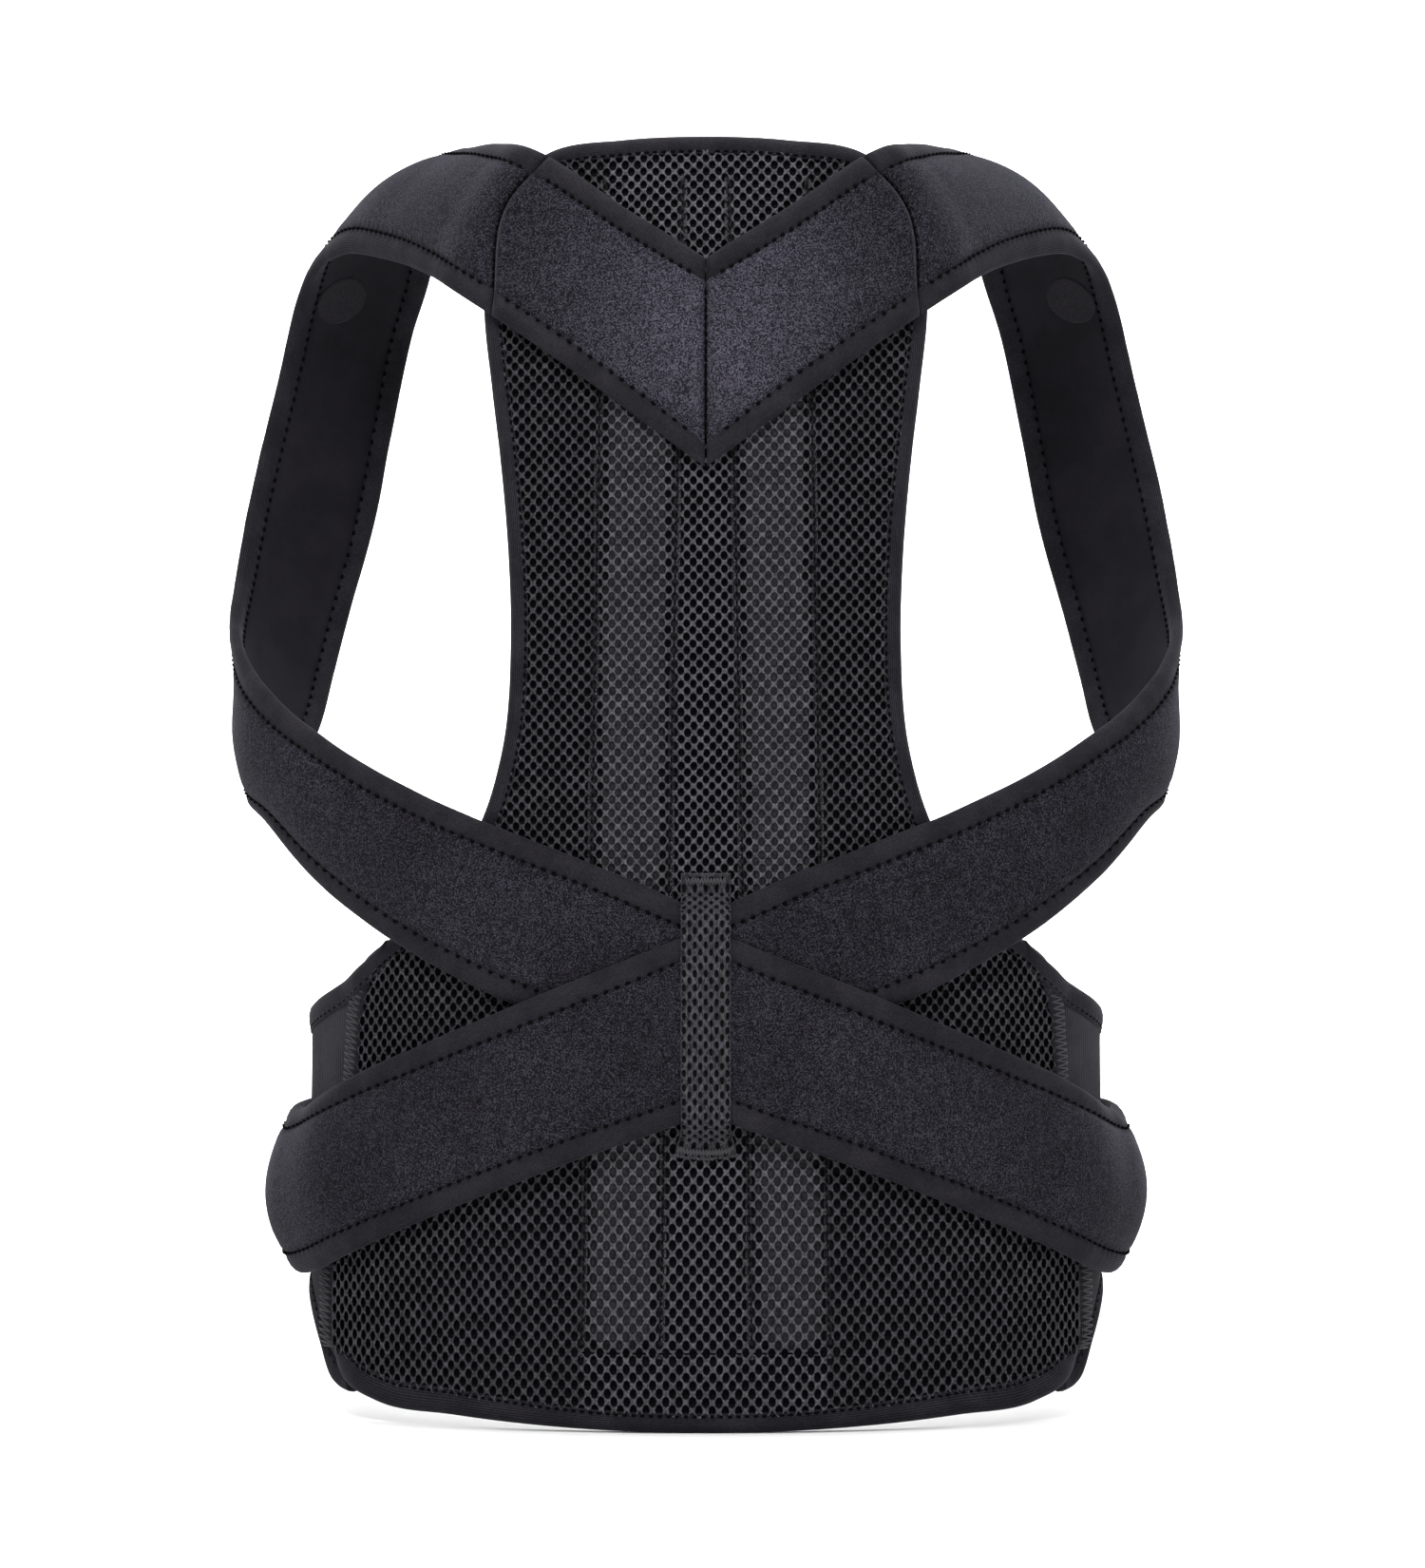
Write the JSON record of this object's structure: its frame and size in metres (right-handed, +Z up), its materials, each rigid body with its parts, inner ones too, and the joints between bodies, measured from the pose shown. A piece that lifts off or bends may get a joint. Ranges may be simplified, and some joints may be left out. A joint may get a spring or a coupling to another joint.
{
  "type": "back brace",
  "caption": "Posture-correcting back brace: stayed mesh back panel, V-shaped yoke, padded shoulder straps crossing under a keeper loop, and an elastic belt that closes in front.",
  "frame": {"origin": "on the torso's axis, level with the lowest point of the panel's hem", "axes": "+Z up along the wearer's spine, +Y the way the wearer faces, +X towards the wearer's right"},
  "size_m": [0.389, 0.2445, 0.5065],
  "materials": {
    "loop_fleece": "matte brushed loop fleece",
    "binding_tape": "matte folded knit tape",
    "air_mesh": "knitted air mesh",
    "lining_cloth": "smooth knit lining",
    "foam_core": "closed-cell foam",
    "aluminium_stay": "mill",
    "elastic": "ribbed elastic webbing",
    "hook_and_loop": "hook-and-loop tape",
    "tack_thread": "bonded thread",
    "strap_pad": "pressed cloth disc"
  },
  "bodies": {
    "root": {"back_foam": "foam_core", "back_lining": "lining_cloth", "back_mesh": "air_mesh", "keeper_bottom_tack": "tack_thread", "keeper_loop": "air_mesh", "keeper_top_tack": "tack_thread", "panel_hem_binding": "binding_tape", "panel_hip_binding_left": "binding_tape", "panel_hip_binding_right": "binding_tape", "panel_side_binding_left": "binding_tape", "panel_side_binding_right": "binding_tape", "panel_top_binding": "binding_tape", "shoulder_inner_tape_left": "binding_tape", "shoulder_inner_tape_right": "binding_tape", "shoulder_outer_tape_left": "binding_tape", "shoulder_outer_tape_right": "binding_tape", "shoulder_strap_left": "loop_fleece", "shoulder_strap_right": "loop_fleece", "side_elastic_left": "elastic", "side_elastic_right": "elastic", "stay_channel_left": "air_mesh", "stay_channel_right": "air_mesh", "stay_left": "aluminium_stay", "stay_right": "aluminium_stay", "strap_disc_left": "strap_pad", "strap_disc_right": "strap_pad", "waist_lower_tape_left": "binding_tape", "waist_lower_tape_right": "binding_tape", "waist_strap_left": "loop_fleece", "waist_strap_right": "loop_fleece", "waist_upper_tape_left": "binding_tape", "waist_upper_tape_right": "binding_tape", "yoke_left": "loop_fleece", "yoke_lower_tape_left": "binding_tape", "yoke_lower_tape_right": "binding_tape", "yoke_right": "loop_fleece", "yoke_upper_tape_left": "binding_tape", "yoke_upper_tape_right": "binding_tape"},
    "left_wing": {"belt_bottom_band_left": "binding_tape", "belt_top_band_left": "binding_tape", "closure_hook": "hook_and_loop", "front_panel_left": "loop_fleece", "wing_elastic_left": "elastic"},
    "right_wing": {"belt_bottom_band_right": "binding_tape", "belt_top_band_right": "binding_tape", "closure_loop": "hook_and_loop", "front_panel_right": "loop_fleece", "wing_elastic_right": "elastic"},
    "left_strap_end": {"strap_end_left": "loop_fleece", "strap_end_lower_tape_left": "binding_tape", "strap_end_upper_tape_left": "binding_tape", "strap_hook_left": "hook_and_loop"},
    "right_strap_end": {"strap_end_lower_tape_right": "binding_tape", "strap_end_right": "loop_fleece", "strap_end_upper_tape_right": "binding_tape", "strap_hook_right": "hook_and_loop"}
  },
  "joints": [
    {"name": "left_wing_swing", "type": "hinge", "parent": "root", "child": "left_wing", "pos_m": [-0.178, -0.01725, 0.1], "axis": [0, 0, 1], "range_deg": [0, 70]},
    {"name": "right_wing_swing", "type": "hinge", "parent": "root", "child": "right_wing", "pos_m": [0.178, -0.01725, 0.1], "axis": [0, 0, -1], "range_deg": [0, 42]},
    {"name": "left_strap_peel", "type": "hinge", "parent": "left_wing", "child": "left_strap_end", "pos_m": [-0.178, -0.01725, 0.1], "axis": [0, 0, 1], "range_deg": [0, 45]},
    {"name": "right_strap_peel", "type": "hinge", "parent": "right_wing", "child": "right_strap_end", "pos_m": [0.178, -0.01725, 0.1], "axis": [0, 0, -1], "range_deg": [0, 45]}
  ],
  "couplings": [
    {"joint": "right_wing_swing", "follows": "left_wing_swing", "ratio": 0.6}
  ]
}
